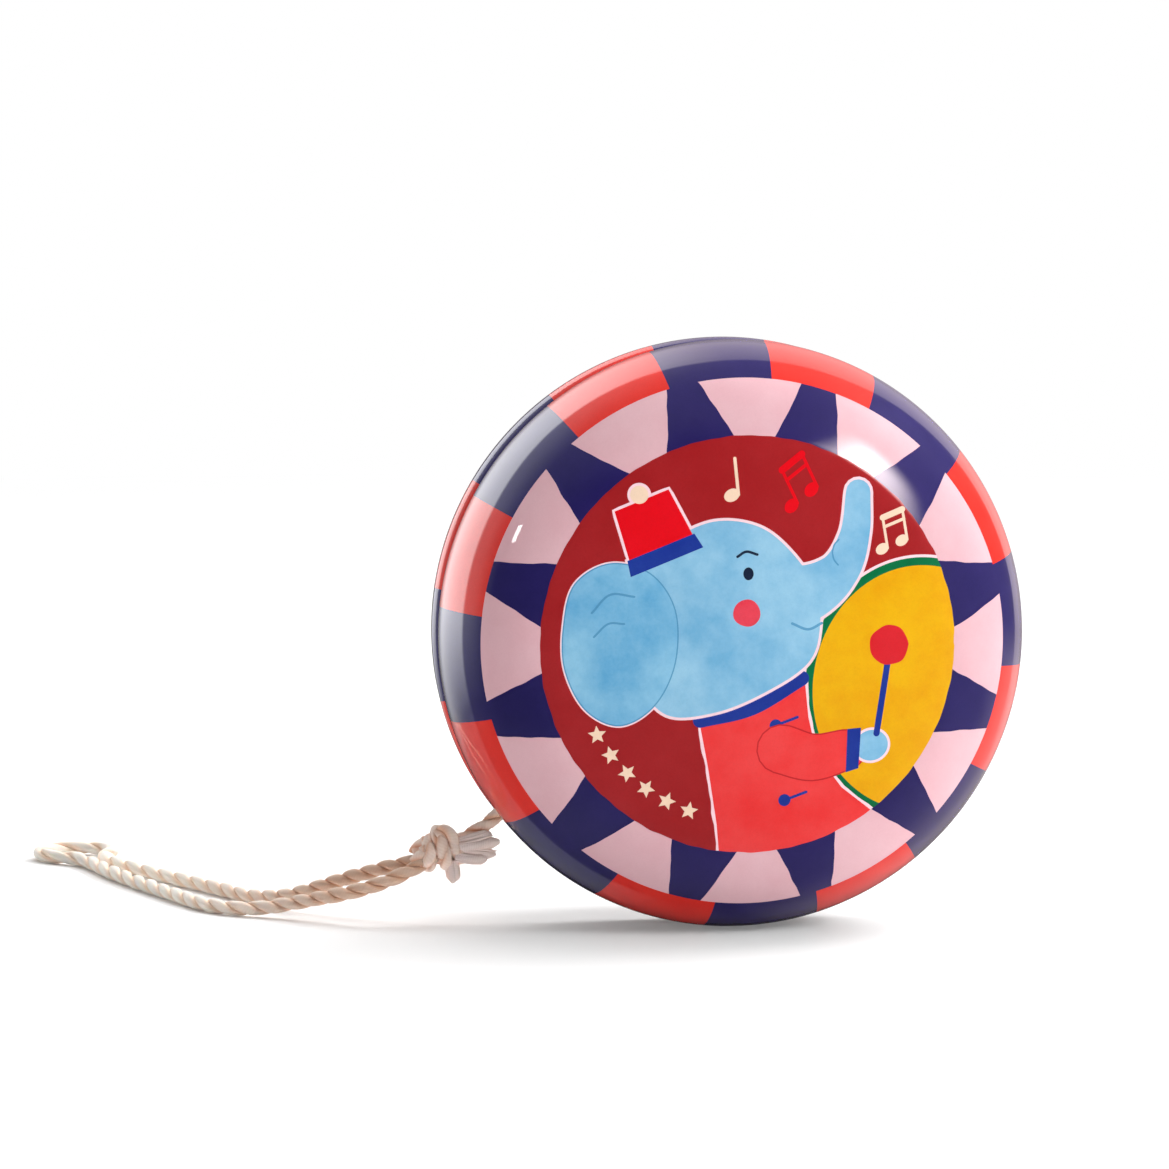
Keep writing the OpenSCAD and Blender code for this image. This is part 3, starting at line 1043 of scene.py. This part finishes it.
def make_floor():
    """A pale floor that brightens into the white background away from the toy."""
    bpy.ops.mesh.primitive_circle_add(vertices=128, radius=4, fill_type="NGON",
                                      location=(0, 0, FLOOR_Z))
    floor = bpy.context.object
    floor.name = "pale_floor"
    m = Material("pale_floor", roughness=0.6)
    m.put(Base_Color=(0.9, 0.9, 0.9, 1), Specular_IOR_Level=0.15)
    distance = m.node("ShaderNodeVectorMath", Vector=m.where)
    distance.operation = "LENGTH"
    away = m.stretch(distance.outputs["Value"], FADE_START, FADE_END, 0.03, 1)
    glow = m.node("ShaderNodeEmission", Strength=1.0)
    both = m.node("ShaderNodeMixShader")
    for socket, value in zip(both.inputs, (away, m.shader.outputs[0], glow.outputs[0])):
        m.set(socket, value)
    m.set(m.tree.nodes["Material Output"].inputs["Surface"], both.outputs[0])
    floor.data.materials.append(m.material)
    floor.visible_glossy = False


# Direction that the white screen behind the toy is centred on
SCREEN = (-0.15, 1, -0.05)
WINDOW_STRENGTH = 26
# Tint of what the dome mirrors at its top and right side
WARM_REFLECTION = (1, 0.86, 0.85, 1)
# What diffuse surfaces get from in front of the toy and from behind it
FRONT_LIGHT, BACK_LIGHT = 0.05, 0.9


def mirrored(tilt, turn):
    """Which way the camera sees in the dome, where it tilts so far at this turn, in degrees."""
    tilt, turn = math.radians(tilt), math.radians(turn)
    normal = Vector((math.sin(tilt) * math.cos(turn), -math.cos(tilt),
                     math.sin(tilt) * math.sin(turn)))
    back = camera_axes()[2]
    return 2 * normal.dot(back) * normal - back


class Sky(Nodes):
    """The world's nodes, which work out how bright it is in each direction."""

    def along(self, axis):
        """How far the direction points along an axis, from -1 to 1."""
        made = self.node("ShaderNodeVectorMath", Vector=self.where)
        made.operation = "DOT_PRODUCT"
        made.inputs[1].default_value = axis
        return made.outputs["Value"]

    def product(self, *values):
        return functools.reduce(functools.partial(self.maths, "MULTIPLY"), values)

    def total(self, *values):
        return functools.reduce(functools.partial(self.maths, "ADD"), values)

    def pick(self, kind, other, this):
        """One number for light paths of this kind and another for the rest."""
        return self.mix(self.node("ShaderNodeLightPath").outputs[kind], other, this, kind="FLOAT")


def mirrored_room(w):
    """The dark room, the white screen behind and the paler sides, as the rims mirror them."""
    behind, across, upright = w.along(SCREEN), w.along((1, 0, 0)), w.along((0, 0, 1))
    right, _, back = camera_axes()
    right = w.along(right)
    edge_on = w.stretch(w.along(-back), 0.84, 0.97, 1, w.stretch(right, -0.15, 0.1, 0.06, 0.6))
    start = w.total(w.stretch(across, -0.6, 0, 0.45, 0.3), w.stretch(across, 0.5, 0.8, 0, 0.17))
    screen = w.product(w.stretch(behind, start, w.total(start, 0.05)),
                       w.stretch(across, -0.5, 0.1, 4.2, 1.3))
    room = w.product(w.stretch(behind, -0.12, 0.25, 0.01, 1.0),
                     w.stretch(across, -0.6, 0.15, 1, 0.1))
    below = w.stretch(right, -0.3, -0.15, 0.1, 0.03)
    surround = w.product(w.total(screen, room), w.stretch(behind, 0.5, 1.0, 1, 0.5), edge_on,
                         w.stretch(upright, -0.35, -0.02, below, 1))
    sides = w.total(w.stretch(across, 0.35, 0.75, 0, 0.3), w.stretch(upright, 0.35, 0.75, 0, 0.35),
                    w.stretch(upright, -0.75, -0.35, 0.2, 0))
    return w.total(surround, w.product(sides, w.stretch(behind, -0.1, 0.3, 1, 0.1)))


def mirrored_floor(w):
    """The lit floor behind, seen along the edge of the dome at the lower right."""
    right, up, back = (w.along(axis) for axis in camera_axes())
    return w.product(w.stretch(back, 0, -0.45), w.stretch(right, 0.1, 0.5),
                     w.stretch(up, -0.12, -0.02, 0.7, 0))


def mirrored_window(w):
    """The window, seen in the dome just outside the disc, at the upper right."""
    low_end, high_end = mirrored(18, 28), mirrored(18, 70)
    upward, middle = (high_end - low_end).normalized(), (high_end + low_end).normalized()
    outward = upward.cross(middle)
    height = w.along(upward)
    return w.product(w.stretch(w.along(outward), -0.11, -0.05, soft=True),
                     w.stretch(w.along(outward - 0.35 * upward), 0.1, 0.4, 1, 0, soft=True),
                     w.stretch(height, -0.2, 0.04, soft=True),
                     w.stretch(height, 0.02, 0.2, 1, 0, soft=True),
                     w.stretch(w.along(middle), 0.4, 0.6), WINDOW_STRENGTH)


def make_world():
    """White for the eye. Reflections see a dark room, a soft window and a white screen behind."""
    world = bpy.data.worlds.new("studio")
    scene.world = world
    world.use_nodes = True
    w = Sky(world.node_tree, "Generated")
    light = world.node_tree.nodes["Background"]
    glossy = w.total(mirrored_room(w), mirrored_floor(w), mirrored_window(w))
    diffuse = w.stretch(w.along((0, 1, 0)), 0, 0.4, FRONT_LIGHT, BACK_LIGHT)
    w.set(light.inputs["Strength"],
          w.pick("Is Camera Ray", w.pick("Is Glossy Ray", diffuse, glossy), 1.0))
    warm_side = w.pick("Is Glossy Ray", 0.0, w.stretch(w.along((1, 0, 0)), -0.35, 0.05))
    w.set(light.inputs["Color"], w.mix(warm_side, (1, 1, 1, 1), WARM_REFLECTION))


def soft_light(name, azimuth, elevation, distance, wide, high, power, seen=False):
    """A soft box that looks at the toy, which reflections see only if it is meant to be seen."""
    data = bpy.data.lights.new(name, "AREA")
    data.shape = "RECTANGLE"
    data.size, data.size_y, data.energy = wide, high, power
    light = added(name, data)
    place = direction(math.radians(azimuth), math.radians(elevation))
    light.location = place * distance
    light.rotation_euler = place.to_track_quat("Z", "Y").to_euler()
    light.visible_glossy = seen
    light.visible_camera = False


make_floor()
make_world()
soft_light("key_box", 47, 29, 0.75, 0.28, 0.24, 2.9)
soft_light("left_box", -67.5, 23, 0.75, 0.05, 0.06, 0.19, seen=True)
soft_light("fill_box", 60, 35, 0.9, 0.6, 0.5, 2.0)
soft_light("top_box", 150, 78, 0.9, 0.6, 0.6, 4.5)
soft_light("side_box", 118, 42, 0.8, 0.45, 0.4, 6.0)
scene.view_settings.view_transform = "Standard"
